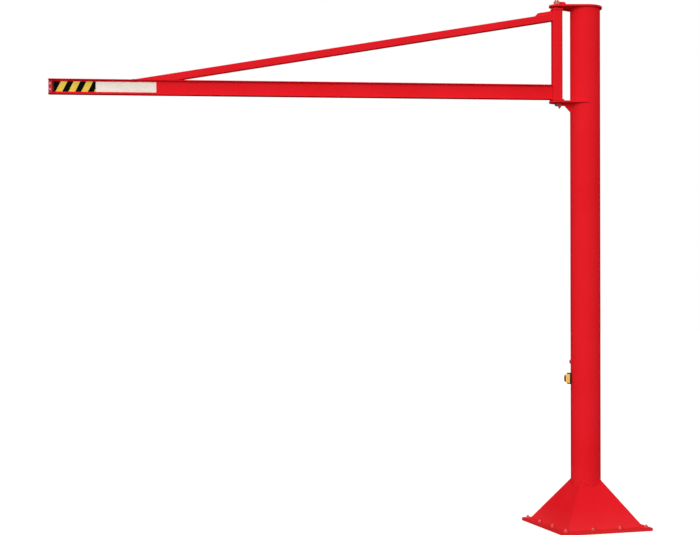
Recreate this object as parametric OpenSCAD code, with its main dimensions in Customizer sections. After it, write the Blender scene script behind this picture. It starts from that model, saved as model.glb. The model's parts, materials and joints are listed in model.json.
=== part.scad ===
// Pillar-mounted jib crane: a round column on an anchored foot carries a
// slewing mast, a rolled trolley beam and its diagonal tie.
// Units are millimetres. The origin is the centre of the foot's underside.
// The pivot brackets point along -X, and +Z is up.

/* [Column] */
// Outside diameter of the column tube
column_d = 244.5; // [219:0.5:260]
// Wall of the column tube
column_wall = 8; // [5:0.5:12]
// Height of the beam's underside above the floor
beam_clearance = 3500; // [2600:10:4500]

/* [Foot] */
// Side of the square base plate
base_w = 790; // [780:5:900]
// Thickness of the base plate
base_t = 25; // [20:1:40]
// Distance of the anchor holes from the plate's edges
anchor_edge = 38; // [35:1:45]
// Diameter of each anchor hole
anchor_hole_d = 18; // [14:1:24]
// Anchors along each side of the plate
anchors_per_side = 4; // [3:1:6]
// Side of the skirt's square foot
skirt_w = 680; // [600:2:684]
// Height of the skirt's hips above the base plate
skirt_h = 364; // [250:1:450]
// Thickness of the skirt plates
skirt_t = 8; // [5:0.5:12]

/* [Brackets] */
// Distance of the swing axis from the column's axis
pivot_reach = 255; // [240:1:300]
// Radius of the rounded nose of both brackets
nose_r = 65; // [58:1:75]
// Thickness of both bracket plates
bracket_t = 15; // [12:1:25]
// How far the head plate stands out past the column
head_overhang = 16; // [5:1:30]
// Height of the gusset at the column
gusset_h = 80; // [50:1:120]
// Height of the gusset's outer end
gusset_nose_h = 20; // [10:1:40]
// Width of the gusset's sloping part
gusset_slope_w = 63; // [40:1:80]
// Thickness of the gusset
gusset_t = 10; // [6:1:16]

/* [Pivots] */
// Diameter of the pivot journals
journal_d = 40; // [38:1:44]
// Diameter of the upper stud's threaded end
stud_d = 33; // [30:1:36]
// Width across the flats of the upper nut
nut_flats = 50; // [46:1:60]
// Height of the upper nut
nut_h = 29; // [20:1:35]
// Diameter of the lower stud's threaded end
lock_stud_d = 24; // [20:1:30]
// Width across the flats of the lower lock nut
lock_nut_flats = 36; // [34:1:50]
// Height of the lower lock nut
lock_nut_h = 21; // [12:1:24]
// Radial running clearance in the bushes
bush_clearance = 0.05; // [0.02:0.01:0.1]
// Wall of the bronze bushes
bush_wall = 5; // [3:0.5:5]
// Thickness of the thrust washer
thrust_t = 3; // [2:0.5:5]

/* [Mast] */
// Side of the square mast tube
mast_w = 80; // [76:1:90]
// Wall of the mast tube
mast_wall = 5; // [3:0.5:6]
// Length of the mast tube
mast_h = 731; // [600:1:900]
// Side of the mast's cap plate
mast_cap_w = 90; // [82:1:100]
// Side of the mast's foot plate
mast_foot_w = 100; // [92:1:110]

/* [Beam] */
// Reach of the beam's tip from the swing axis
arm = 4100; // [3000:10:4500]
// Height of the rolled section
beam_h = 120; // [100:1:140]
// Width of its flanges
beam_w = 64; // [55:1:73]
// Thickness of its web
web_t = 4.4; // [4:0.1:7]
// Thickness of its flanges
flange_t = 6.3; // [5:0.1:9]
// Radius of the root fillets
root_r = 7; // [4:0.5:9]

/* [Tie] */
// Side of the square tie tube
tie_w = 60; // [40:1:70]
// Wall of the tie tube
tie_wall = 4; // [3:0.5:6]
// Distance of the tie's top below the mast's cap, at the mast
tie_drop = 29; // [25:1:90]
// Distance of the tie's foot from the beam's tip
tie_setback = 660; // [300:10:1500]
// Length of the rib on the tie's upper end
rib_len = 140; // [80:1:200]
// Height of that rib above the tie
rib_h = 24; // [10:1:24]

/* [Swing] */
// Angle of the jib from the bracket's direction, anticlockwise from above
rest_swing = -12; // [-120:1:120]

/* [Switch] */
// Angle of the switch and the cable boss from the bracket's direction
switch_turn = -10; // [-90:1:90]
// Height of the switch's middle above the floor
switch_z = 1215; // [900:1:1600]
// Height of the switch case
switch_h = 92; // [60:1:120]
// Height of the cable boss above the floor
boss_z = 1352; // [1300:1:1800]

/* [Hidden] */
$fn = 96;
// Gap left where a piece is welded to a curved surface
weld_gap = 0.3;
// Gap under a bearing face that slides
slide_gap = 0.3;
column_r = column_d / 2;
// Levels, upwards from the lower bracket
mast_foot_t = 10;
mast_foot_z = beam_clearance - mast_foot_t;
bracket_top_z = mast_foot_z - slide_gap - thrust_t;
bracket_z = bracket_top_z - bracket_t;
mast_cap_t = 12;
mast_cap_z = beam_clearance + mast_h;
mast_top_z = mast_cap_z + mast_cap_t;
collar_t = 12;
head_z = mast_top_z + slide_gap + collar_t;
head_top_z = head_z + bracket_t;
beam_top_z = beam_clearance + beam_h;
// Pivots
journal_r = journal_d / 2;
bush_bore_r = journal_r + bush_clearance;
bush_r = bush_bore_r + bush_wall;
bush_len = 40;
bush_seat_gap = 0.05;
collar_r = bush_r + 5;
stud_r = stud_d / 2;
stud_gap = 0.5;
washer_t = 4;
washer_r = nut_flats / 2 + 5;
stud_tip = 25;
lock_stud_r = lock_stud_d / 2;
lock_stud_tip = 5;
// Anchors
anchor_reach = base_w / 2 - anchor_edge;
anchor_pitch = 2 * anchor_reach / (anchors_per_side - 1);
// Skirt
skirt_reach = skirt_w / 2;
hip_reach = column_r / sqrt(2);
skirt_pitch = atan2(skirt_h, skirt_reach - hip_reach);
// Jib
mast_face = mast_w / 2;
tie_top_z = mast_cap_z - tie_drop;
tie_run = arm - tie_setback - mast_face;
tie_slope = atan2(tie_top_z - beam_top_z, tie_run);
// End stops
stop_leg = 32;
stop_t = 5;
stop_bolt_d = 12;
stop_bolt_pitch = 44;
stop_bolt_x = (stop_leg - stop_t) / 2;
// Switch, outwards from the column
switch_w = 40;
switch_back = 16;
switch_lip_depth = 32;
switch_lip = 9;
switch_cover_depth = 48;

// ---- shared shapes ----

// Square with rounded corners, centred
module rounded_square(w, r) {
  square([w, w - 2 * r], center = true);
  square([w - 2 * r, w], center = true);
  for (x = [-1, 1], y = [-1, 1])
    translate([x * (w / 2 - r), y * (w / 2 - r)]) circle(r);
}

// Square tube standing on the origin
module square_tube(w, wall, len) {
  linear_extrude(len) difference() {
    rounded_square(w, 2 * wall);
    rounded_square(w - 2 * wall, wall);
  }
}

// Plate outline: a disc about the column, drawn out to a round nose
module bracket_outline(disc_r) {
  turn = acos((disc_r - nose_r) / pivot_reach);
  circle(disc_r);
  translate([-pivot_reach, 0]) circle(nose_r);
  polygon([
    [-disc_r * cos(turn), disc_r * sin(turn)],
    [-pivot_reach - nose_r * cos(turn), nose_r * sin(turn)],
    [-pivot_reach - nose_r * cos(turn), -nose_r * sin(turn)],
    [-disc_r * cos(turn), -disc_r * sin(turn)]
  ]);
}

// Hexagonal nut on the origin with its hole and chamfered crowns
module hex_nut(flats, h, hole_r) {
  crown = 0.08 * flats;
  corner_r = flats / sqrt(3);
  difference() {
    intersection() {
      cylinder(r = corner_r, h = h, $fn = 6);
      rotate_extrude() polygon([
        [0, 0], [flats / 2, 0], [corner_r, crown / 2],
        [corner_r, h - crown / 2], [flats / 2, h], [0, h]
      ]);
    }
    translate([0, 0, -1]) cylinder(r = hole_r, h = h + 2);
  }
}

// Bronze bush on the origin
module bush() {
  difference() {
    cylinder(r = bush_r, h = bush_len);
    translate([0, 0, -1]) cylinder(r = bush_bore_r, h = bush_len + 2);
  }
}

module at_pivot() {
  translate([-pivot_reach, 0, 0]) children();
}

// Jib pieces are drawn along -X from the swing axis and turned to rest
module on_jib() {
  at_pivot() rotate(rest_swing) children();
}

// Fittings are drawn with +Z outwards from the column's axis and +X down
module on_column(z) {
  rotate(switch_turn) translate([0, 0, z]) rotate([0, -90, 0]) children();
}

// The column's own shape, as what sits on it at the height z meets it
module column_in_fitting(z) {
  rotate([0, 90, 0]) translate([0, 0, -z]) cylinder(r = column_r + weld_gap, h = 2 * z);
}

// ---- foot ----

module base_plate() {
  step = anchor_pitch;
  color("firebrick") difference() {
    translate([0, 0, base_t / 2]) cube([base_w, base_w, base_t], center = true);
    for (i = [0 : anchors_per_side - 1], side = [-1, 1]) {
      along = -anchor_reach + i * step;
      translate([along, side * anchor_reach, -1])
        cylinder(d = anchor_hole_d, h = base_t + 2);
      if (i > 0 && i < anchors_per_side - 1)
        translate([side * anchor_reach, along, -1])
          cylinder(d = anchor_hole_d, h = base_t + 2);
    }
  }
}

// One leaning plate of the skirt, facing +X, mitred at the hips
module skirt_plate() {
  foot_step = skirt_t / sin(skirt_pitch);
  top_x = 0.6 * column_r;
  top_z = base_t + (skirt_reach - top_x) * tan(skirt_pitch);
  difference() {
    intersection() {
      rotate([90, 0, 0]) translate([0, 0, -skirt_reach])
        linear_extrude(2 * skirt_reach) polygon([
          [skirt_reach, base_t], [skirt_reach - foot_step, base_t],
          [top_x - foot_step, top_z], [top_x, top_z]
        ]);
      linear_extrude(2 * top_z) polygon([
        [0, 0], [2 * skirt_reach, 2 * skirt_reach],
        [2 * skirt_reach, -2 * skirt_reach]
      ]);
    }
    cylinder(r = column_r + weld_gap, h = 2 * top_z);
  }
}

module skirt_side(turn) {
  color("red") rotate(turn) skirt_plate();
}

// ---- column ----

module column_tube() {
  color("red") translate([0, 0, base_t]) difference() {
    cylinder(r = column_r, h = head_z - base_t);
    translate([0, 0, -1])
      cylinder(r = column_r - column_wall, h = head_z - base_t + 2);
  }
}

module head_plate() {
  color("red") translate([0, 0, head_z]) difference() {
    linear_extrude(bracket_t) bracket_outline(column_r + head_overhang);
    at_pivot() translate([0, 0, -1])
      cylinder(r = stud_r + stud_gap, h = bracket_t + 2);
  }
}

module bracket_plate() {
  wrap = 6;
  color("red") translate([0, 0, bracket_z]) difference() {
    linear_extrude(bracket_t) difference() {
      bracket_outline(column_r + wrap);
      circle(column_r + weld_gap);
      translate([-column_r / 4, -2 * column_r])
        square([4 * column_r, 4 * column_r]);
    }
    at_pivot() translate([0, 0, -1])
      cylinder(r = lock_stud_r + stud_gap, h = bracket_t + 2);
  }
}

module bracket_gusset() {
  nut_room = 6;
  root = -column_r - weld_gap;
  outer = -pivot_reach + lock_nut_flats / sqrt(3) + nut_room;
  low = bracket_z - gusset_nose_h;
  color("red") rotate([90, 0, 0]) translate([0, 0, -gusset_t / 2])
    linear_extrude(gusset_t) polygon([
      [root, bracket_z], [outer, bracket_z], [outer, low],
      [root - gusset_slope_w, low], [root, bracket_z - gusset_h]
    ]);
}

// ---- pivots ----

// Stud with a journal below its collar and a thread above, from the top down
module upper_pivot_stud() {
  thread_h = bracket_t + washer_t + nut_h + stud_tip;
  tip = 3;
  color("dimgray") at_pivot() translate([0, 0, head_z]) rotate_extrude() polygon([
    [0, -collar_t - bush_len], [journal_r - tip, -collar_t - bush_len],
    [journal_r, -collar_t - bush_len + tip], [journal_r, -collar_t],
    [collar_r, -collar_t], [collar_r, 0], [stud_r, 0],
    [stud_r, thread_h - tip], [stud_r - tip, thread_h], [0, thread_h]
  ]);
}

module upper_washer() {
  color("silver") at_pivot() translate([0, 0, head_top_z]) difference() {
    cylinder(r = washer_r, h = washer_t);
    translate([0, 0, -1]) cylinder(r = stud_r + stud_gap, h = washer_t + 2);
  }
}

module upper_nut() {
  color("dimgray") at_pivot() translate([0, 0, head_top_z + washer_t])
    hex_nut(nut_flats, nut_h, stud_r + bush_seat_gap);
}

// Lug welded beside the upper nut so that it cannot turn
module upper_keeper() {
  len = 48;
  lug_w = 12;
  lug_h = 34;
  slant = 9;
  start = washer_r + 0.5;
  color("red") at_pivot() rotate([90, 0, 0]) translate([start, head_top_z, -lug_w / 2])
    linear_extrude(lug_w) polygon([
      [0, 0], [len, 0], [len, lug_h - slant], [len - slant, lug_h], [0, lug_h]
    ]);
}

module lower_pivot_stud() {
  thread_h = bracket_t + lock_nut_h + lock_stud_tip;
  journal_h = thrust_t + slide_gap + bush_len;
  tip = 3;
  color("dimgray") at_pivot() translate([0, 0, bracket_top_z]) rotate_extrude() polygon([
    [0, -thread_h], [lock_stud_r - tip, -thread_h], [lock_stud_r, -thread_h + tip],
    [lock_stud_r, 0], [journal_r, 0], [journal_r, journal_h - tip],
    [journal_r - tip, journal_h], [0, journal_h]
  ]);
}

module lower_lock_nut() {
  color("black") at_pivot() translate([0, 0, bracket_z - lock_nut_h])
    hex_nut(lock_nut_flats, lock_nut_h, lock_stud_r + bush_seat_gap);
}

// Pointed tab hung in front of the lock nut
module lower_keeper() {
  tab_w = 36;
  tab_h = 48;
  tab_t = 8;
  shift = 8;
  point = 4;
  nut_room = 0.5;
  color("firebrick") at_pivot()
    translate([shift, -lock_nut_flats / sqrt(3) - nut_room, bracket_z]) rotate([90, 0, 0])
      linear_extrude(tab_t) polygon([
        [-tab_w / 2, 0], [tab_w / 2, 0], [tab_w / 2, -0.55 * tab_h],
        [point, -tab_h], [0, -tab_h], [-tab_w / 2, -0.2 * tab_h]
      ]);
}

module thrust_washer() {
  color("goldenrod") at_pivot() translate([0, 0, bracket_top_z]) difference() {
    cylinder(r = mast_face - 4, h = thrust_t);
    translate([0, 0, -1]) cylinder(r = journal_r + 0.3, h = thrust_t + 2);
  }
}

// ---- fittings on the column ----

module cable_boss() {
  boss_r = 17;
  stand = 12;
  chamfer = 3;
  sink = 8;
  color("firebrick") on_column(boss_z) difference() {
    translate([0, 0, column_r]) rotate_extrude() polygon([
      [0, -sink], [boss_r, -sink], [boss_r, stand - chamfer],
      [boss_r - chamfer, stand], [0, stand]
    ]);
    column_in_fitting(boss_z);
  }
}

// Case hollowed to the column, with a lip above and below the cover
module switch_case() {
  sink = 4;
  color("black") on_column(switch_z) difference() {
    translate([0, 0, column_r - sink]) intersection() {
      linear_extrude(switch_lip_depth + sink) square([switch_h, switch_w], center = true);
      rotate([90, 0, 0]) translate([0, 0, -switch_w])
        linear_extrude(2 * switch_w) switch_profile(switch_h, switch_lip_depth + sink);
    }
    translate([-switch_h / 2 + switch_lip, -switch_w, column_r + switch_back])
      cube([switch_h - 2 * switch_lip, 2 * switch_w, switch_lip_depth]);
    column_in_fitting(switch_z);
  }
}

// Outline seen from the side, with the two outer corners rounded
module switch_profile(h, depth) {
  corner = 6;
  translate([-h / 2, 0]) square([h, depth - corner]);
  translate([-h / 2 + corner, 0]) square([h - 2 * corner, depth]);
  for (side = [-1, 1])
    translate([side * (h / 2 - corner), depth - corner]) circle(corner);
}

// Cover filling the case between its lips and tapering towards the handle
module switch_cover() {
  inner_h = switch_h - 2 * switch_lip;
  depth = switch_cover_depth - switch_back;
  straight = switch_lip_depth - switch_back;
  taper = 5;
  round_r = 10;
  color("gold") on_column(switch_z) translate([0, 0, column_r + switch_back])
    intersection() {
      rotate([90, 0, 0]) translate([0, 0, -switch_w]) linear_extrude(2 * switch_w) polygon([
        [-inner_h / 2, 0], [inner_h / 2, 0], [inner_h / 2, straight],
        [inner_h / 2 - taper, depth], [-inner_h / 2 + taper, depth],
        [-inner_h / 2, straight]
      ]);
      rotate([0, 90, 0]) translate([-depth, 0, -switch_h]) linear_extrude(2 * switch_h) {
        translate([round_r, -switch_w / 2]) square([depth - round_r, switch_w]);
        translate([0, -switch_w / 2 + round_r])
          square([depth, switch_w - 2 * round_r]);
        for (side = [-1, 1])
          translate([round_r, side * (switch_w / 2 - round_r)]) circle(round_r);
      }
    }
}

// Rounded handle with a narrower outer face
module switch_handle() {
  grip_h = 54;
  grip_w = 26;
  grip_t = 9;
  step = 3;
  step_t = 3;
  color("darkred") on_column(switch_z) translate([0, 0, column_r + switch_cover_depth]) {
    linear_extrude(grip_t - step_t) slot_outline(grip_h, grip_w);
    translate([0, 0, grip_t - step_t])
      linear_extrude(step_t) slot_outline(grip_h - 2 * step, grip_w - 2 * step);
  }
}

// Straight-sided outline with half-round ends
module slot_outline(h, w) {
  square([h - w, w], center = true);
  for (side = [-1, 1]) translate([side * (h - w) / 2, 0]) circle(d = w);
}

// ---- jib ----

module mast_tube() {
  color("red") on_jib() translate([0, 0, beam_clearance])
    square_tube(mast_w, mast_wall, mast_h);
}

// Plate with a turned bearing boss inside the mast
module bearing_plate(w, t, boss_up) {
  boss_r = bush_r + 5;
  boss_h = bush_len - t;
  difference() {
    union() {
      linear_extrude(t) rounded_square(w, 6);
      translate([0, 0, boss_up ? t : -boss_h]) cylinder(r = boss_r, h = boss_h);
    }
    translate([0, 0, -bush_len]) cylinder(r = bush_r + bush_seat_gap, h = 3 * bush_len);
  }
}

module mast_cap() {
  color("red") on_jib() translate([0, 0, mast_cap_z])
    bearing_plate(mast_cap_w, mast_cap_t, false);
}

module mast_foot() {
  color("red") on_jib() translate([0, 0, mast_foot_z])
    bearing_plate(mast_foot_w, mast_foot_t, true);
}

module upper_bush() {
  color("goldenrod") on_jib() translate([0, 0, mast_top_z - bush_len]) bush();
}

module lower_bush() {
  color("goldenrod") on_jib() translate([0, 0, mast_foot_z]) bush();
}

// Rolled I-section with root fillets, standing on y = 0
module beam_section() {
  translate([-beam_w / 2, 0]) square([beam_w, flange_t]);
  translate([-beam_w / 2, beam_h - flange_t]) square([beam_w, flange_t]);
  translate([-web_t / 2, 0]) square([web_t, beam_h]);
  for (side = [0, 1], level = [0, 1])
    translate([0, level * beam_h]) mirror([side, 0]) mirror([0, level])
      translate([web_t / 2, flange_t]) difference() {
        square(root_r);
        translate([root_r, root_r]) circle(root_r);
      }
}

module trolley_beam() {
  color("red") difference() {
    on_jib() translate([-mast_face, 0, beam_clearance])
      rotate([90, 0, -90]) linear_extrude(arm - mast_face) beam_section();
    at_tip() stop_holes(beam_w);
  }
}

// Tube cut square to the mast's face and flat on the beam
module tie_bar() {
  len = (tie_top_z - beam_top_z) / sin(tie_slope) + 4 * tie_w;
  color("red") on_jib() intersection() {
    translate([-mast_face, 0, tie_top_z]) rotate([0, -tie_slope, 0])
      translate([2 * tie_w, 0, -tie_w / 2]) rotate([0, -90, 0])
        square_tube(tie_w, tie_wall, len + 2 * tie_w);
    translate([-arm, -tie_w, beam_top_z])
      cube([arm - mast_face, 2 * tie_w, mast_h]);
  }
}

// Rib on the tie's upper end, welded to the tie and to the mast
module tie_rib() {
  rib_t = 10;
  chamfer = 22;
  nose = 5;
  drop = tan(tie_slope);
  lift = rib_h / cos(tie_slope);
  color("firebrick") on_jib() translate([-mast_face, 0, tie_top_z])
    rotate([90, 0, 0]) translate([0, 0, -rib_t / 2]) linear_extrude(rib_t)
      polygon([
        [0, 0], [-rib_len, -rib_len * drop], [-rib_len, nose - rib_len * drop],
        [-rib_len + chamfer, lift - (rib_len - chamfer) * drop], [0, lift]
      ]);
}

// Pair of bolt holes across the web, near the beam's tip
module stop_holes(len) {
  for (level = [-1, 1])
    translate([stop_bolt_x, -len / 2, beam_h / 2 + level * stop_bolt_pitch / 2])
      rotate([-90, 0, 0]) cylinder(d = stop_bolt_d + 1, h = len);
}

// Angle cleat against the web, drawn for the +Y side with its tip at the origin
module stop_angle() {
  len = beam_h - 2 * flange_t - 2 * root_r;
  stand = (beam_w - web_t) / 2 - 3;
  difference() {
    translate([0, 0, beam_h / 2 - len / 2]) linear_extrude(len) {
      translate([0, web_t / 2]) square([stop_leg, stop_t]);
      translate([stop_leg - stop_t, web_t / 2]) square([stop_t, stand]);
    }
    stop_holes(beam_w);
  }
}

module at_tip() {
  on_jib() translate([-arm, 0, beam_clearance]) children();
}

module stop_front() {
  color("indianred") at_tip() mirror([0, 1, 0]) stop_angle();
}

module stop_back() {
  color("indianred") at_tip() stop_angle();
}

module stop_bolts() {
  head_h = 7.5;
  head_r = 19 / sqrt(3);
  grip = web_t / 2 + stop_t;
  color("gray") at_tip() for (level = [-1, 1])
    translate([stop_bolt_x, 0, beam_h / 2 + level * stop_bolt_pitch / 2])
      rotate([90, 0, 0]) {
        translate([0, 0, grip]) cylinder(r = head_r, h = head_h, $fn = 6);
        translate([0, 0, -grip - head_h]) cylinder(r = head_r, h = head_h, $fn = 6);
        translate([0, 0, -grip]) cylinder(d = stop_bolt_d, h = 2 * grip);
      }
}

base_plate();
skirt_side(-90);  // skirt_front
skirt_side(90);  // skirt_back
skirt_side(180);  // skirt_left
skirt_side(0);  // skirt_right
column_tube();
head_plate();
bracket_plate();
bracket_gusset();
upper_pivot_stud();
upper_washer();
upper_nut();
upper_keeper();
lower_pivot_stud();
lower_lock_nut();
lower_keeper();
thrust_washer();
cable_boss();
switch_case();
switch_cover();
switch_handle();
mast_tube();
mast_cap();
mast_foot();
upper_bush();
lower_bush();
trolley_beam();
tie_bar();
tie_rib();
stop_front();
stop_back();
stop_bolts();
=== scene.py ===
import json
import math
import random

import bmesh
import bpy
from mathutils import Matrix, Vector


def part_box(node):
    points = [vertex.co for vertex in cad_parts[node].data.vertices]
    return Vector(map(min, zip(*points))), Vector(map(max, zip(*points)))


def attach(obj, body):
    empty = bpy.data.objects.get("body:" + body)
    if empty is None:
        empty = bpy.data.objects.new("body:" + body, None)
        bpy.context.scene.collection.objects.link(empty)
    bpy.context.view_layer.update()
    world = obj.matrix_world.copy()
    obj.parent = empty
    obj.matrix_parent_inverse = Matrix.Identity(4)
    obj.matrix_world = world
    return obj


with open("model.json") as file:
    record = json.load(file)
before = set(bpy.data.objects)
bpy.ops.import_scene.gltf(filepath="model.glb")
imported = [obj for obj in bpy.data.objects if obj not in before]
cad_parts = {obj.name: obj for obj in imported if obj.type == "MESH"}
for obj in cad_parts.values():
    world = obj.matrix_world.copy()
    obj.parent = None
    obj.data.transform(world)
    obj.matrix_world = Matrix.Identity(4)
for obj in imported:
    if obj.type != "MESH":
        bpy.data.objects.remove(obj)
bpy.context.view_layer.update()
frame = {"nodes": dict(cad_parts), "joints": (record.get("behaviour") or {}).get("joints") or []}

scene = bpy.context.scene
nodes = frame["nodes"]
mm = 0.001
print("frame loaded,", len(nodes), "solids")


# camera, level and lifted by its shift, so that the column stays upright; roll leans it a hair
camera = {"place": (-5.0287, -9.8591, 1.8996), "turn": 16.92, "roll": 0.097, "lens": 67.94,
          "shift": 0.040}

cameraData = bpy.data.cameras.new("camera")
cameraData.lens = camera["lens"]
cameraData.sensor_width = 36
cameraData.shift_y = camera["shift"]
cameraData.clip_end = 200
cameraObject = bpy.data.objects.new("camera", cameraData)
cameraObject.location = camera["place"]
cameraObject.rotation_euler = (math.radians(90), math.radians(camera["roll"]),
                               -math.radians(camera["turn"]))
scene.collection.objects.link(cameraObject)
scene.camera = cameraObject
scene.view_settings.view_transform = "Standard"


def linearColour(hexCode):
    channels = [int(hexCode[i:i + 2], 16) / 255 for i in (1, 3, 5)]
    return [c / 12.92 if c <= 0.04045 else ((c + 0.055) / 1.055) ** 2.4 for c in channels] + [1]


def addNode(tree, kind, inputs=None, **settings):
    node = tree.nodes.new(kind)
    for key, value in settings.items():
        setattr(node, key, value)
    for key, value in (inputs or {}).items():
        if isinstance(value, bpy.types.NodeSocket):
            tree.links.new(value, node.inputs[key])
        else:
            node.inputs[key].default_value = value
    return node


def newTree(name):
    material = bpy.data.materials.new(name)
    material.use_nodes = True
    material.node_tree.nodes.clear()
    return material, material.node_tree


def perMetre(sizeInMm):
    return 1000 / sizeInMm


# studio: white to the camera and to gloss, a plain grey room to matt surfaces
studio = {
    "skyAbove": 0.88, "skyLevel": 0.28, "skyBelow": 0.0,
    "floorGrey": "#808080", "floorShown": 0.90, "floorSize": 60,
    "keyStrength": 2.64, "keyWidth": 40, "keyFrom": (-40, 9),
    "fillStrength": 1.40, "fillWidth": 60, "fillFrom": (86, 4),
    "backStrength": 1.0, "backWidth": 60, "backFrom": (153, 20),
}


def seenDirectly(tree):
    # camera, mirror and glass rays together
    path = addNode(tree, "ShaderNodeLightPath").outputs
    gloss = addNode(tree, "ShaderNodeMath", {0: path["Is Camera Ray"], 1: path["Is Glossy Ray"]},
                    operation="MAXIMUM").outputs[0]
    return addNode(tree, "ShaderNodeMath", {0: gloss, 1: path["Is Transmission Ray"]},
                   operation="MAXIMUM").outputs[0]


def buildWorld(look):
    world = bpy.data.worlds.new("studio")
    scene.world = world
    world.use_nodes = True
    tree = world.node_tree
    tree.nodes.clear()
    direction = addNode(tree, "ShaderNodeTexCoord").outputs["Generated"]
    height = addNode(tree, "ShaderNodeSeparateXYZ", {0: direction}).outputs["Z"]
    rise = addNode(tree, "ShaderNodeMapRange", {"Value": height, "From Min": -1, "From Max": 1})
    ramp = addNode(tree, "ShaderNodeValToRGB", {0: rise.outputs[0]})
    stops = ramp.color_ramp.elements
    stops[0].position, stops[1].position = 0.46, 1.0  # the horizon is at 0.5
    level = stops.new(0.54)
    for stop, value in ((stops[0], look["skyBelow"]), (level, look["skyLevel"]),
                        (stops[2], look["skyAbove"])):
        stop.color = (value, value, value, 1)
    matt = addNode(tree, "ShaderNodeBackground", {"Color": ramp.outputs[0], "Strength": 1})
    white = addNode(tree, "ShaderNodeBackground", {"Color": (1, 1, 1, 1), "Strength": 1})
    mix = addNode(tree, "ShaderNodeMixShader", {0: seenDirectly(tree), 1: matt.outputs[0],
                                                2: white.outputs[0]})
    addNode(tree, "ShaderNodeOutputWorld", {"Surface": mix.outputs[0]})


def buildFloor(look):
    material, tree = newTree("painted_studio_floor")
    grey = addNode(tree, "ShaderNodeBsdfDiffuse", {"Color": linearColour(look["floorGrey"])})
    glow = addNode(tree, "ShaderNodeEmission", {"Color": (1, 1, 1, 1),
                                                "Strength": look["floorShown"]})
    shown = addNode(tree, "ShaderNodeAddShader", {0: grey.outputs[0], 1: glow.outputs[0]})
    mix = addNode(tree, "ShaderNodeMixShader", {0: seenDirectly(tree), 1: grey.outputs[0],
                                                2: shown.outputs[0]})
    addNode(tree, "ShaderNodeOutputMaterial", {"Surface": mix.outputs[0]})
    bm = bmesh.new()
    bmesh.ops.create_circle(bm, cap_ends=True, segments=64, radius=look["floorSize"])
    bmesh.ops.translate(bm, verts=bm.verts, vec=(0, 0, -0.5 * mm))
    mesh = bpy.data.meshes.new("floor")
    bm.to_mesh(mesh)
    bm.free()
    mesh.materials.append(material)
    floor = bpy.data.objects.new("floor", mesh)
    scene.collection.objects.link(floor)


def buildSun(name, strength, width, fromWhere):
    # fromWhere is the bearing off the front and the height, in degrees
    bearing, height = (math.radians(a) for a in fromWhere)
    light = bpy.data.lights.new(name, "SUN")
    light.energy = strength
    light.angle = math.radians(width)
    lamp = bpy.data.objects.new(name, light)
    toward = Vector((math.sin(bearing) * math.cos(height), -math.cos(bearing) * math.cos(height),
                     math.sin(height)))
    lamp.rotation_euler = toward.to_track_quat("Z", "Y").to_euler()
    scene.collection.objects.link(lamp)


buildWorld(studio)
buildFloor(studio)
for lamp in ("key", "fill", "back"):
    buildSun(lamp + "Light", studio[lamp + "Strength"], studio[lamp + "Width"],
             studio[lamp + "From"])
print("camera and studio ready")


def edgeMask(tree, radius):
    # 0 on the flats and near 1 on the outer edges and corners
    rounded = addNode(tree, "ShaderNodeBevel", {"Radius": radius}, samples=4).outputs[0]
    flat = addNode(tree, "ShaderNodeNewGeometry").outputs["Normal"]
    turn = addNode(tree, "ShaderNodeVectorMath", {0: rounded, 1: flat}, operation="DOT_PRODUCT")
    mask = addNode(tree, "ShaderNodeMapRange", {"Value": turn.outputs["Value"], "From Min": 0.995,
                                                "From Max": 0.80, "To Min": 0, "To Max": 1})
    return rounded, mask.outputs[0]


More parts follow.
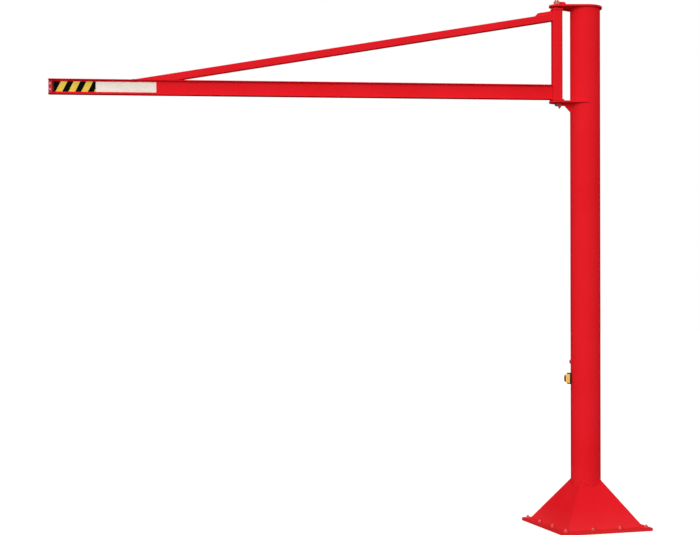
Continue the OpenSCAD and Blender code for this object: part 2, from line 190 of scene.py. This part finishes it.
def powderCoatEnamel(name, look):
    # polyester powder coat baked on steel: an even matt red with a fine orange peel, dusty near the
    # floor;
    # at sharp edges the film draws back, and the edge colour also paints light there: painted shade
    # where it is dark, painted highlights where it is pale
    material, tree = newTree(name)
    place = addNode(tree, "ShaderNodeTexCoord").outputs["Object"]
    cloud = addNode(tree, "ShaderNodeTexNoise", {"Vector": place, "Scale": perMetre(look["cloud"]),
                                                 "Detail": 3}).outputs["Fac"]
    grain = addNode(tree, "ShaderNodeTexNoise", {"Vector": place, "Scale": perMetre(look["peel"]),
                                                 "Detail": 1}).outputs["Fac"]
    rounded, edge = edgeMask(tree, look["edgeRadius"] * mm)
    chips = addNode(tree, "ShaderNodeTexNoise", {"Vector": place, "Scale": perMetre(look["chips"]),
                                                 "Detail": 4}).outputs["Fac"]
    broken = addNode(tree, "ShaderNodeMapRange", {"Value": chips, "From Min": 0.42,
                                                  "From Max": 0.62})
    # edge mask broken by chips: thin worn coat, and also where painted shade or painted highlights
    # go on the edges
    edgeWearAndLightMask = addNode(tree, "ShaderNodeMath", {0: edge, 1: broken.outputs[0]}, operation="MULTIPLY")
    tone = addNode(tree, "ShaderNodeValToRGB", {0: cloud})
    tone.color_ramp.elements[0].position, tone.color_ramp.elements[1].position = 0.3, 0.7
    tone.color_ramp.elements[0].color = linearColour(look["deep"])
    tone.color_ramp.elements[1].color = linearColour(look["bright"])
    fade = addNode(tree, "ShaderNodeMath", {0: edgeWearAndLightMask.outputs[0], 1: look["edgeWearAndLightAmount"]},
                   operation="MULTIPLY")
    edgeWearAndPaintedLight = addNode(tree, "ShaderNodeMix", {0: fade.outputs[0], 6: tone.outputs[0],
                                           7: linearColour(look["edgeWearAndPaintedLight"])}, data_type="RGBA")
    height = addNode(tree, "ShaderNodeSeparateXYZ", {0: place}).outputs["Z"]
    low = addNode(tree, "ShaderNodeMapRange", {"Value": height, "From Min": look["dustTop"] * mm,
                                               "From Max": 0, "To Min": 0, "To Max": 1})
    settled = addNode(tree, "ShaderNodeMath", {0: low.outputs[0], 1: chips}, operation="MULTIPLY")
    dusty = addNode(tree, "ShaderNodeMath", {0: settled.outputs[0], 1: look["dustAmount"]},
                    operation="MULTIPLY")
    colour = addNode(tree, "ShaderNodeMix", {0: dusty.outputs[0], 6: edgeWearAndPaintedLight.outputs[2],
                                             7: linearColour(look["dust"])}, data_type="RGBA")
    shine = addNode(tree, "ShaderNodeMapRange", {"Value": cloud, "From Min": 0.3, "From Max": 0.7,
                                                 "To Min": look["rough"] - 0.05,
                                                 "To Max": look["rough"] + 0.05})
    bump = addNode(tree, "ShaderNodeBump", {"Strength": look["peelDepth"], "Distance": 0.2 * mm,
                                            "Height": grain, "Normal": rounded})
    skin = addNode(tree, "ShaderNodeBsdfPrincipled", {
        "Base Color": colour.outputs[2], "Roughness": shine.outputs[0], "Metallic": 0, "IOR": 1.5,
        "Specular IOR Level": look["gloss"], "Normal": bump.outputs[0]})
    addNode(tree, "ShaderNodeOutputMaterial", {"Surface": skin.outputs[0]})
    return material


def platedSteel(name, look):
    # steel fasteners, zinc plated or phosphated: a dull metal with a cloudy bloom,
    # brighter where the spanner has rubbed the edges; on the pivot steel that pale edge colour is
    # painted highlights
    material, tree = newTree(name)
    place = addNode(tree, "ShaderNodeTexCoord").outputs["Object"]
    bloom = addNode(tree, "ShaderNodeTexNoise", {"Vector": place, "Scale": perMetre(look["bloom"]),
                                                 "Detail": 5}).outputs["Fac"]
    rounded, edge = edgeMask(tree, look["edgeRadius"] * mm)
    tone = addNode(tree, "ShaderNodeValToRGB", {0: bloom})
    tone.color_ramp.elements[0].position, tone.color_ramp.elements[1].position = 0.35, 0.65
    tone.color_ramp.elements[0].color = linearColour(look["deep"])
    tone.color_ramp.elements[1].color = linearColour(look["bright"])
    edgeRubAndGlint = addNode(tree, "ShaderNodeMath", {0: edge, 1: 0.6}, operation="MULTIPLY")
    colour = addNode(tree, "ShaderNodeMix", {0: edgeRubAndGlint.outputs[0], 6: tone.outputs[0],
                                             7: linearColour(look["edgeWearAndPaintedLight"])}, data_type="RGBA")
    shine = addNode(tree, "ShaderNodeMapRange", {"Value": bloom, "From Min": 0.3, "From Max": 0.7,
                                                 "To Min": look["rough"] - 0.08,
                                                 "To Max": look["rough"] + 0.08})
    bump = addNode(tree, "ShaderNodeBump", {"Strength": 0.15, "Distance": 0.1 * mm,
                                            "Height": bloom, "Normal": rounded})
    skin = addNode(tree, "ShaderNodeBsdfPrincipled", {
        "Base Color": colour.outputs[2], "Roughness": shine.outputs[0], "Metallic": 1,
        "Normal": bump.outputs[0]})
    surface = skin.outputs[0]
    if "paintedBelow" in look:
        height = addNode(tree, "ShaderNodeSeparateXYZ", {0: place}).outputs["Z"]
        low = addNode(tree, "ShaderNodeMath", {0: height, 1: look["paintedBelow"]},
                      operation="LESS_THAN")
        coat = addNode(tree, "ShaderNodeBsdfPrincipled", {
            "Base Color": linearColour(look["paint"]), "Roughness": 0.42, "Metallic": 0,
            "IOR": 1.5, "Specular IOR Level": 0.05, "Normal": rounded})
        surface = addNode(tree, "ShaderNodeMixShader", {0: low.outputs[0], 1: surface,
                                                        2: coat.outputs[0]}).outputs[0]
    addNode(tree, "ShaderNodeOutputMaterial", {"Surface": surface})
    return material


def turnedBronze(name, look):
    # leaded bronze, faced and bored on a lathe: fine rings round the swing axis under an oil film
    material, tree = newTree(name)
    place = addNode(tree, "ShaderNodeTexCoord").outputs["Object"]
    centred = addNode(tree, "ShaderNodeMapping", {"Vector": place, "Location": look["centre"]})
    rings = addNode(tree, "ShaderNodeTexWave", {"Vector": centred.outputs[0],
                                                "Scale": perMetre(look["toolPitch"]) / 20},
                    wave_type="RINGS", rings_direction="Z").outputs["Fac"]
    oil = addNode(tree, "ShaderNodeTexNoise", {"Vector": place, "Scale": perMetre(look["oil"]),
                                               "Detail": 3}).outputs["Fac"]
    colour = addNode(tree, "ShaderNodeMix", {0: oil, 6: linearColour(look["deep"]),
                                             7: linearColour(look["bright"])}, data_type="RGBA")
    bump = addNode(tree, "ShaderNodeBump", {"Strength": 0.3, "Distance": 0.05 * mm,
                                            "Height": rings})
    skin = addNode(tree, "ShaderNodeBsdfPrincipled", {
        "Base Color": colour.outputs[2], "Roughness": look["rough"], "Metallic": 1,
        "Normal": bump.outputs[0]})
    addNode(tree, "ShaderNodeOutputMaterial", {"Surface": skin.outputs[0]})
    return material


def mouldedPlastic(name, look):
    # injection-moulded glass-filled plastic: a spark-eroded grain and a satin shine,
    # polished by hands along its edges
    material, tree = newTree(name)
    place = addNode(tree, "ShaderNodeTexCoord").outputs["Object"]
    grain = addNode(tree, "ShaderNodeTexNoise", {"Vector": place, "Scale": perMetre(look["grain"]),
                                                 "Detail": 2}).outputs["Fac"]
    haze = addNode(tree, "ShaderNodeTexNoise", {"Vector": place, "Scale": perMetre(look["haze"]),
                                                "Detail": 3}).outputs["Fac"]
    rounded, edge = edgeMask(tree, look["edgeRadius"] * mm)
    tone = addNode(tree, "ShaderNodeMix", {0: haze, 6: linearColour(look["deep"]),
                                           7: linearColour(look["bright"])}, data_type="RGBA")
    edgeRubAndGlint = addNode(tree, "ShaderNodeMath", {0: edge, 1: 0.35}, operation="MULTIPLY")
    colour = addNode(tree, "ShaderNodeMix", {0: edgeRubAndGlint.outputs[0], 6: tone.outputs[2],
                                             7: linearColour(look["edgeWearAndPaintedLight"])}, data_type="RGBA")
    shine = addNode(tree, "ShaderNodeMapRange", {"Value": edge, "To Min": look["rough"],
                                                 "To Max": look["rough"] - 0.12})
    bump = addNode(tree, "ShaderNodeBump", {"Strength": 0.2, "Distance": 0.1 * mm,
                                            "Height": grain, "Normal": rounded})
    skin = addNode(tree, "ShaderNodeBsdfPrincipled", {
        "Base Color": colour.outputs[2], "Roughness": shine.outputs[0], "Metallic": 0, "IOR": 1.53,
        "Specular IOR Level": look["gloss"], "Normal": bump.outputs[0]})
    addNode(tree, "ShaderNodeOutputMaterial", {"Surface": skin.outputs[0]})
    return material


def vinylFilm(name, look):
    # printed vinyl film rolled on to the web: flat colour, satin, with faint trapped-air ripples
    material, tree = newTree(name)
    place = addNode(tree, "ShaderNodeTexCoord").outputs["Object"]
    soil = addNode(tree, "ShaderNodeTexNoise", {"Vector": place, "Scale": perMetre(look["soil"]),
                                                "Detail": 4}).outputs["Fac"]
    ripple = addNode(tree, "ShaderNodeTexNoise", {"Vector": place,
                                                  "Scale": perMetre(look["ripple"]),
                                                  "Detail": 1}).outputs["Fac"]
    spread = addNode(tree, "ShaderNodeMapRange", {"Value": soil, "From Min": 0.35,
                                                  "From Max": 0.75})
    colour = addNode(tree, "ShaderNodeMix", {0: spread.outputs[0], 6: linearColour(look["clean"]),
                                             7: linearColour(look["soiled"])}, data_type="RGBA")
    bump = addNode(tree, "ShaderNodeBump", {"Strength": 0.25, "Distance": 0.2 * mm,
                                            "Height": ripple})
    skin = addNode(tree, "ShaderNodeBsdfPrincipled", {
        "Base Color": colour.outputs[2], "Roughness": look["rough"], "Metallic": 0, "IOR": 1.46,
        "Specular IOR Level": look["gloss"], "Normal": bump.outputs[0]})
    addNode(tree, "ShaderNodeOutputMaterial", {"Surface": skin.outputs[0]})
    return material


pivotX, pivotY, pivotZ = frame["joints"][0]["pos_m"]

# the dark edge colour of the red is partly thin coat and partly painted shade on the edges
redLook = {
    "deep": "#DD1B23", "bright": "#E22029", "edgeWearAndPaintedLight": "#A0161B", "dust": "#A98C84",
    "cloud": 420, "peel": 4, "chips": 9, "edgeRadius": 2.5, "edgeWearAndLightAmount": 0.5,
    "dustTop": 160, "dustAmount": 0.10, "rough": 0.5, "gloss": 0.0, "peelDepth": 0.25,
}
dullLook = dict(redLook, deep="#A93038", bright="#B93A40", edgeWearAndPaintedLight="#D69A92", chips=6,
                edgeWearAndLightAmount=0.7, rough=0.5, gloss=0.08)
# fasteners painted over in red; the pale pink edge colour, at full strength, is painted highlights
# on the washers, nuts, studs and stop bolts
overpaintWithGlintsLook = dict(redLook, deep="#D03038", bright="#E8424A", edgeWearAndPaintedLight="#FFD0C8", cloud=30, chips=3,
                     edgeRadius=1.6, edgeWearAndLightAmount=1.0, rough=0.3, gloss=0.5)
zincLook = {"deep": "#A9ACAF", "bright": "#C6C9CB", "edgeWearAndPaintedLight": "#E2E3E2", "bloom": 7,
            "edgeRadius": 0.8, "rough": 0.36}
phosphateLook = {"deep": "#453F3B", "bright": "#655E58", "edgeWearAndPaintedLight": "#A39C94", "bloom": 9,
                 "edgeRadius": 1.2, "rough": 0.44}
# the upper pivot took overspray below the head plate; above it the steel is tinted red as painted
# reflection of the red paint round it, with pale pink edges as painted highlights
pivotLook = dict(phosphateLook, deep="#8A4A3E", bright="#C98877", edgeWearAndPaintedLight="#F3C8BC", rough=0.34,
                 paintedBelow=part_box("head_plate")[0].z, paint="#DD1B23")
bronzeLook = {"deep": "#A97A3C", "bright": "#C99A58", "toolPitch": 1.2, "oil": 14, "rough": 0.3,
              "centre": (-pivotX, -pivotY, 0)}
blackLook = {"deep": "#141211", "bright": "#201D1B", "edgeWearAndPaintedLight": "#4A4643", "grain": 0.9, "haze": 25,
             "edgeRadius": 1.2, "rough": 0.5, "gloss": 0.1}
goldenLook = dict(blackLook, deep="#EDB850", bright="#FBCF74", edgeWearAndPaintedLight="#FBE3A8", rough=0.38)
handleLook = dict(blackLook, deep="#6E2A08", bright="#84380F", edgeWearAndPaintedLight="#A8663C", rough=0.36)

finishes = {
    "red_enamel": powderCoatEnamel("red_powder_coat_enamel", redLook),
    "dull_red": powderCoatEnamel("weathered_red_enamel", dullLook),
    "zinc_steel": platedSteel("zinc_plated_steel", zincLook),
    "dark_steel": platedSteel("phosphated_steel", phosphateLook),
    "bronze": turnedBronze("turned_bronze", bronzeLook),
    "black_plastic": mouldedPlastic("black_moulded_polyamide", blackLook),
    "golden_plastic": mouldedPlastic("golden_moulded_polycarbonate", goldenLook),
    "handle_plastic": mouldedPlastic("dark_red_moulded_polyamide", handleLook),
}
for solid in nodes.values():
    for holder in solid.material_slots:
        holder.material = finishes[holder.material.name]
overpaintWithGlints = powderCoatEnamel("overpainted_fastener_enamel_painted_glints", overpaintWithGlintsLook)
pivotSteel = platedSteel("pivot_steel_overspray_and_painted_reflection", pivotLook)
for name in ("upper_pivot_stud", "upper_nut", "upper_washer"):
    nodes[name].material_slots[0].material = pivotSteel
nodes["stop_bolts"].material_slots[0].material = overpaintWithGlints
print("finishes on", len(nodes), "solids")


column = {"diameter": 244.5}
jib = {"restSwing": -12, "arm": 4100}  # degrees off the bracket's direction, mm from the swing axis
onJib = (Matrix.Translation((pivotX, pivotY, 0))
         @ Matrix.Rotation(math.radians(jib["restSwing"]), 4, "Z"))
columnRadius = 0.5 * column["diameter"] * mm


def makePiece(name, bm, materials, body, sharp=32):
    mesh = bpy.data.meshes.new(name)
    bm.to_mesh(mesh)
    bm.free()
    for material in materials:
        mesh.materials.append(material)
    mesh.shade_smooth()
    mesh.set_sharp_from_angle(angle=math.radians(sharp))
    piece = bpy.data.objects.new(name, mesh)
    scene.collection.objects.link(piece)
    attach(piece, body)


def spinProfile(bm, profile, steps, closed=True, turns=1.0, lift=0.0):
    # turns a chain of (radius, height) points about Z
    start = [bm.verts.new((r, 0, z)) for r, z in profile]
    pairs = list(zip(start, start[1:])) + ([(start[-1], start[0])] if closed else [])
    edges = [bm.edges.new(pair) for pair in pairs]
    bmesh.ops.spin(bm, geom=start + edges, cent=(0, 0, 0), axis=(0, 0, 1), dvec=(0, 0, lift),
                   angle=2 * math.pi * turns, steps=steps, use_merge=lift == 0)


def addMesh(bm, part, placing):
    # copies one bmesh into another, placed by a matrix
    mesh = bpy.data.meshes.new("part")
    part.to_mesh(mesh)
    mesh.transform(placing)
    bm.from_mesh(mesh)
    bpy.data.meshes.remove(mesh)


def hexNut(flats, height, bore):
    # a ring pushed out to the six flats, with the crown that a lathe leaves on both faces
    bm = bmesh.new()
    seat = 0.475 * flats  # the round face that a nut bears on
    rim = 1.02 * seat
    spinProfile(bm, [(bore, 0), (bore, height), (seat, height), (rim, height), (rim, 0),
                     (seat, 0)], 48)
    for vert in bm.verts:
        reach = vert.co.xy.length
        if reach > 1.01 * seat:
            turn = (math.atan2(vert.co.y, vert.co.x) + math.pi / 6) % (math.pi / 3) - math.pi / 6
            out = 0.5 * flats / math.cos(turn)
            vert.co.xy *= out / reach
            drop = (out - seat) * math.tan(math.radians(30))
            vert.co.z += -drop if vert.co.z > height / 2 else drop
    bmesh.ops.recalc_face_normals(bm, faces=bm.faces)
    return bm


def threadedRod(major, pitch, low, high, steps=24):
    # one turn of thread wound up past both ends, then cut square and closed
    minor = major - 1.2 * pitch  # metric depth, with flats of an eighth on the crests
    bm = bmesh.new()
    turns = math.ceil((high - low) / pitch) + 3
    spinProfile(bm, [(minor / 2, 0), (major / 2, 0.44 * pitch), (major / 2, 0.56 * pitch),
                     (minor / 2, pitch)], steps * turns, closed=False, turns=turns,
                lift=pitch / steps)
    bmesh.ops.remove_doubles(bm, verts=bm.verts, dist=pitch / 50)
    bmesh.ops.translate(bm, verts=bm.verts, vec=(0, 0, low - 1.5 * pitch))
    for level, up in ((low, -1), (high, 1)):
        bmesh.ops.bisect_plane(bm, geom=bm.verts[:] + bm.edges[:] + bm.faces[:],
                               plane_co=(0, 0, level), plane_no=(0, 0, up), clear_outer=True)
    rims = [e for e in bm.edges if e.is_boundary]
    bmesh.ops.holes_fill(bm, edges=rims, sides=0)
    taper = 1.4 * pitch
    for vert in bm.verts:
        most = minor / 2 - 0.2 * pitch + (high - vert.co.z) * (0.9 * pitch / taper)
        reach = vert.co.xy.length
        if vert.co.z > high - taper and reach > most:
            vert.co.xy *= most / reach
    bmesh.ops.recalc_face_normals(bm, faces=bm.faces)
    return bm


# anchors in the foot
anchor = {"thread": 16, "pitch": 2, "flats": 24, "nutHeight": 13, "washer": 30, "washerHeight": 3,
          "washerEdge": 0.4, "above": 8, "foot": 2, "edge": 38, "perSide": 4}
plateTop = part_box("base_plate")[1].z
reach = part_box("base_plate")[1].x - anchor["edge"] * mm
pitch = 2 * reach / (anchor["perSide"] - 1)
spots = [(x, y) for x in (-reach, -reach + pitch, reach - pitch, reach)
         for y in (-reach, -reach + pitch, reach - pitch, reach) if reach in (abs(x), abs(y))]

washerMesh = bmesh.new()
wide, thin, hole = (anchor["washer"] * mm / 2, anchor["washerHeight"] * mm,
                    anchor["thread"] * mm / 2)
blunt = anchor["washerEdge"] * mm
spinProfile(washerMesh, [(hole, 0), (hole, thin), (wide - blunt, thin), (wide, thin - blunt),
                         (wide, blunt), (wide - blunt, 0)], 40)
bmesh.ops.recalc_face_normals(washerMesh, faces=washerMesh.faces)
nutMesh = hexNut(anchor["flats"] * mm, anchor["nutHeight"] * mm, hole)
studTop = thin + (anchor["nutHeight"] + anchor["above"]) * mm
studMesh = threadedRod(anchor["thread"] * mm, anchor["pitch"] * mm,
                       anchor["foot"] * mm - plateTop, studTop)
washers, nuts, studs = bmesh.new(), bmesh.new(), bmesh.new()
draws = random.Random(7)
for x, y in spots:
    turn = Matrix.Rotation(draws.uniform(0, math.pi), 4, "Z")
    spot = Matrix.Translation((x, y, plateTop)) @ turn
    addMesh(washers, washerMesh, spot)
    addMesh(nuts, nutMesh, spot @ Matrix.Translation((0, 0, thin)))
    addMesh(studs, studMesh, spot)
for part in (washerMesh, nutMesh, studMesh):
    part.free()
makePiece("anchor_washers", washers, [overpaintWithGlints], "pillar")
makePiece("anchor_nuts", nuts, [overpaintWithGlints], "pillar")
makePiece("anchor_studs", studs, [overpaintWithGlints], "pillar", sharp=50)
print("anchors set,", len(spots))


# thread on the upper pivot
pivotThread = {"major": 33.4, "pitch": 3.5, "short": 3, "sunkTurns": 2}
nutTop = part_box("upper_nut")[1].z
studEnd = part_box("upper_pivot_stud")[1].z
threadTop = studEnd - pivotThread["short"] * mm
thread = threadedRod(pivotThread["major"] * mm, pivotThread["pitch"] * mm,
                     nutTop - pivotThread["sunkTurns"] * pivotThread["pitch"] * mm, threadTop,
                     steps=40)
bmesh.ops.translate(thread, verts=thread.verts, vec=(pivotX, pivotY, 0))
makePiece("upper_pivot_thread", thread, [pivotSteel], "pillar", sharp=50)
print("pivot thread cut")


# weld beads: ripple and step along the bead in mm, depth and wander as shares of its radius,
# and steady is how much of one step's wander the next one keeps
bead = {"ripple": 7, "step": 3.5, "depth": 0.07, "wander": 0.05, "steady": 0.8}
beadRadius = {
    "skirt_foot_weld": 4, "skirt_hip_welds": 3.5, "skirt_collar_weld": 5, "head_weld": 4.5,
    "bracket_welds": 4, "gusset_welds": 3.5, "keeper_weld": 3, "tab_weld": 3, "boss_weld": 2.5,
    "mast_welds": 3.5, "beam_welds": 3.2, "tie_welds": 3.5, "rib_welds": 3,
}


def along(path, step):
    # points at an even spacing down a polyline
    points, left = [path[0].copy()], step
    for a, b in zip(path, path[1:]):
        span = (b - a).length
        at = left
        while at <= span:
            points.append(a.lerp(b, at / span))
            at += step
        left = at - span
    points.append(path[-1].copy())
    return points


def weldBead(name, runs, body, placing=None):
    # each run is a list of points; the bead swells and narrows as the welder's hand moved
    curve = bpy.data.curves.new(name, "CURVE")
    curve.dimensions = "3D"
    curve.bevel_depth = beadRadius[name] * mm
    curve.bevel_resolution = 1
    curve.use_fill_caps = True
    hand = random.Random(name)
    for run in runs:
        points = along([Vector(p) for p in run], bead["step"] * mm)
        spline = curve.splines.new("POLY")
        spline.points.add(len(points) - 1)
        drift = 0
        for i, (holder, point) in enumerate(zip(spline.points, points)):
            place = placing @ point if placing else point
            drift = bead["steady"] * drift + hand.uniform(-bead["wander"], bead["wander"])
            swell = bead["depth"] * math.sin(2 * math.pi * i * bead["step"] / bead["ripple"] + 1)
            holder.co = (*place, 1)
            holder.radius = 1 + drift + swell
    curve.materials.append(finishes["red_enamel"])
    piece = bpy.data.objects.new(name, curve)
    scene.collection.objects.link(piece)
    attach(piece, body)


def arc(radius, z, start, end, steps=96):
    turns = [math.radians(start + (end - start) * i / steps) for i in range(steps + 1)]
    return [(radius * math.cos(t), radius * math.sin(t), z) for t in turns]


skirtLow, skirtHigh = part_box("skirt_front")
skirtReach = skirtHigh.x
hipReach = columnRadius / math.sqrt(2)
hipTop = skirtHigh.z
rise = (hipTop - plateTop) / (skirtReach - hipReach)


def skirtSeam(quarter):
    # the curve where one leaning plate meets the tube
    points = []
    for i in range(49):
        turn = math.radians(-45 + 90 * i / 48)
        z = plateTop + (skirtReach - columnRadius * math.cos(turn)) * rise
        points.append((columnRadius * math.cos(turn + quarter),
                       columnRadius * math.sin(turn + quarter), z))
    return points


sides = [math.radians(90 * k) for k in range(4)]
corners = [(1, 1), (-1, 1), (-1, -1), (1, -1)]
footRuns = [[(a * skirtReach, b * skirtReach, plateTop), (c * skirtReach, d * skirtReach, plateTop)]
            for (a, b), (c, d) in zip(corners, corners[1:] + corners[:1])]
weldBead("skirt_foot_weld", footRuns, "pillar")
tuck = 2 * mm  # how deep a hip bead sits in its groove
weldBead("skirt_hip_welds", [[(a * (skirtReach - tuck), b * (skirtReach - tuck), plateTop),
                              (a * (hipReach - tuck), b * (hipReach - tuck), hipTop - tuck)]
                             for a, b in corners], "pillar")
weldBead("skirt_collar_weld", [skirtSeam(s) for s in sides], "pillar")

headLow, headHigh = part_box("head_plate")
bracketLow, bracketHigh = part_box("bracket_plate")
wing = math.degrees(math.acos(bracketHigh.x / columnRadius))
weldBead("head_weld", [arc(columnRadius, headLow.z, 0, 360, 180)], "pillar")
weldBead("bracket_welds", [arc(columnRadius, z, wing, 360 - wing)
                           for z in (bracketLow.z, bracketHigh.z)], "pillar")
gussetLow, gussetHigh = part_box("bracket_gusset")
root = -columnRadius
weldBead("gusset_welds", [
    [(root, side * gussetHigh.y, gussetLow.z), (root, side * gussetHigh.y, gussetHigh.z),
     (gussetLow.x, side * gussetHigh.y, gussetHigh.z)] for side in (-1, 1)], "pillar")
keeperLow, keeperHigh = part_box("upper_keeper")
weldBead("keeper_weld", [
    [(x, side * keeperHigh.y, keeperLow.z) for x in (keeperLow.x, keeperHigh.x)]
    for side in (-1, 1)], "pillar")
tabLow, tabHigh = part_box("lower_keeper")
weldBead("tab_weld", [[(x, tabLow.y, tabHigh.z) for x in (tabLow.x, tabHigh.x)]], "pillar")
switch = {"turn": -10}  # degrees round the column, for the switch and the boss above it
bossLow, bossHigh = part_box("cable_boss")
bossRadius, bossZ = (bossHigh.z - bossLow.z) / 2, (bossHigh.z + bossLow.z) / 2
switchTurn = Matrix.Rotation(math.radians(switch["turn"]), 4, "Z")
bossRun = []
for i in range(49):
    turn = 2 * math.pi * i / 48
    y = bossRadius * math.sin(turn)
    bossRun.append((-math.sqrt(columnRadius ** 2 - y ** 2), y, bossZ + bossRadius * math.cos(turn)))
weldBead("boss_weld", [bossRun], "pillar", switchTurn)

beamLow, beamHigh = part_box("trolley_beam")
mast = {"side": 80, "corner": 10, "cap": 12}
half, corner = mast["side"] * mm / 2, mast["corner"] * mm


def roundSquare(z, grow=0.0):
    points = []
    for k in range(4):
        for i in range(7):
            turn = math.radians(90 * k + 15 * i)
            centre = [(1, 1), (-1, 1), (-1, -1), (1, -1)][k]
            points.append((centre[0] * (half - corner) + (corner + grow) * math.cos(turn),
                           centre[1] * (half - corner) + (corner + grow) * math.sin(turn), z))
    return points + points[:1]


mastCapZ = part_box("mast_cap")[1].z - mast["cap"] * mm
weldBead("mast_welds", [roundSquare(beamLow.z), roundSquare(mastCapZ)], "jib", onJib)

beam = {"width": 64, "web": 4.4, "flange": 6.3}
beamTop = beamHigh.z
wide, web = beam["width"] * mm / 2, beam["web"] * mm / 2
face = -half
flange = beam["flange"] * mm
weldBead("beam_welds", [
    [(face, -wide, beamLow.z), (face, -wide, beamLow.z + flange), (face, -web, beamLow.z + flange),
     (face, -web, beamTop - flange), (face, -wide, beamTop - flange), (face, -wide, beamTop),
     (face, wide, beamTop), (face, wide, beamTop - flange), (face, web, beamTop - flange),
     (face, web, beamLow.z + flange), (face, wide, beamLow.z + flange), (face, wide, beamLow.z)]],
    "jib", onJib)

tie = {"side": 60, "setback": 660}
tieHalf = tie["side"] * mm / 2
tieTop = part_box("tie_bar")[1].z
reachOut = (jib["arm"] - tie["setback"]) * mm - half
slope = math.atan2(tieTop - beamTop, reachOut)
tieDeep = tie["side"] * mm / math.cos(slope)
tieFoot = face - (tieTop - beamTop) / math.tan(slope)
tieHeel = face - (tieTop - tieDeep - beamTop) / math.tan(slope)
weldBead("tie_welds", [
    [(face, -tieHalf, tieTop - tieDeep), (face, -tieHalf, tieTop), (face, tieHalf, tieTop),
     (face, tieHalf, tieTop - tieDeep)],
    [(tieHeel, -tieHalf, beamTop), (tieFoot, -tieHalf, beamTop), (tieFoot, tieHalf, beamTop),
     (tieHeel, tieHalf, beamTop)]], "jib", onJib)
rib = {"length": 140, "thickness": 10}
ribEnd = face - rib["length"] * mm
ribDrop = rib["length"] * mm * math.tan(slope)
ribHalf = rib["thickness"] * mm / 2
weldBead("rib_welds", [[(face, side * ribHalf, tieTop), (ribEnd, side * ribHalf, tieTop - ribDrop)]
                       for side in (-1, 1)], "jib", onJib)
print("weld beads laid")


# hazard strip and bare plate on the web, in mm from the swing axis and the beam's underside
strip = {"inner": 3730, "outer": 4058, "low": 21.5, "high": 103, "thick": 0.3,
         "period": 100, "yellow": 52, "firstYellow": 4044, "lean": 27, "bands": 5}
plate = {"inner": 3253, "outer": 3729.5, "thick": 0.6, "corner": 5}
yellowLook = {"clean": "#E7C946", "soiled": "#D7BA49", "soil": 30, "ripple": 35, "rough": 0.34,
              "gloss": 0.08}
inkLook = dict(yellowLook, clean="#050505", soiled="#0C0B0A", gloss=0.01)
blankLook = dict(yellowLook, clean="#EDE8DD", soiled="#E3DDCF", soil=90, ripple=60)
yellowFilm = vinylFilm("yellow_vinyl_film", yellowLook)
inkFilm = vinylFilm("black_vinyl_film", inkLook)
blankFilm = vinylFilm("white_vinyl_plate", blankLook)


def webRectangle(inner, outer, low, high):
    # a flat face just off the web's front, drawn in the jib's own directions
    bm = bmesh.new()
    bmesh.ops.create_grid(bm, x_segments=1, y_segments=1, size=0.5)
    bmesh.ops.rotate(bm, verts=bm.verts, cent=(0, 0, 0),
                     matrix=Matrix.Rotation(math.pi / 2, 3, "X"))
    bmesh.ops.scale(bm, verts=bm.verts, vec=((outer - inner) * mm, 1, (high - low) * mm))
    bmesh.ops.translate(bm, verts=bm.verts, vec=(-(inner + outer) / 2 * mm, -web,
                                                 beamLow.z + (low + high) / 2 * mm))
    return bm


def thicken(bm, thick):
    lifted = bmesh.ops.extrude_face_region(bm, geom=bm.faces[:], use_keep_orig=True)
    fresh = [g for g in lifted["geom"] if isinstance(g, bmesh.types.BMVert)]
    bmesh.ops.translate(bm, verts=fresh, vec=(0, -thick * mm, 0))
    bmesh.ops.recalc_face_normals(bm, faces=bm.faces)


film = webRectangle(strip["inner"], strip["outer"], strip["low"], strip["high"])
lean = math.radians(strip["lean"])
bandEdges = []
for k in range(strip["bands"]):
    start = strip["firstYellow"] - k * strip["period"]
    bandEdges += [start, start - strip["yellow"]]
for s in bandEdges:
    bmesh.ops.bisect_plane(film, geom=film.verts[:] + film.edges[:] + film.faces[:],
                           plane_co=(-s * mm, 0, beamLow.z + strip["low"] * mm),
                           plane_no=(math.cos(lean), 0, -math.sin(lean)))
thicken(film, strip["thick"])
for part in film.faces:
    middle = part.calc_center_median()
    s = -middle.x / mm + (middle.z - beamLow.z - strip["low"] * mm) / mm * math.tan(lean)
    place = (strip["firstYellow"] - s) % strip["period"]
    part.material_index = 0 if place < strip["yellow"] else 1
bmesh.ops.transform(film, matrix=onJib, verts=film.verts)
makePiece("hazard_strip", film, [yellowFilm, inkFilm], "jib")

blank = webRectangle(plate["inner"], plate["outer"], strip["low"], strip["high"])
thicken(blank, plate["thick"])
upright = [e for e in blank.edges if abs(e.verts[0].co.y - e.verts[1].co.y) > 0.3 * mm]
bmesh.ops.bevel(blank, geom=upright, offset=plate["corner"] * mm, affect="EDGES", segments=5,
                profile=0.5, material=-1)
bmesh.ops.transform(blank, matrix=onJib, verts=blank.verts)
makePiece("blank_plate", blank, [blankFilm], "jib")
print("strip and plate on the web")
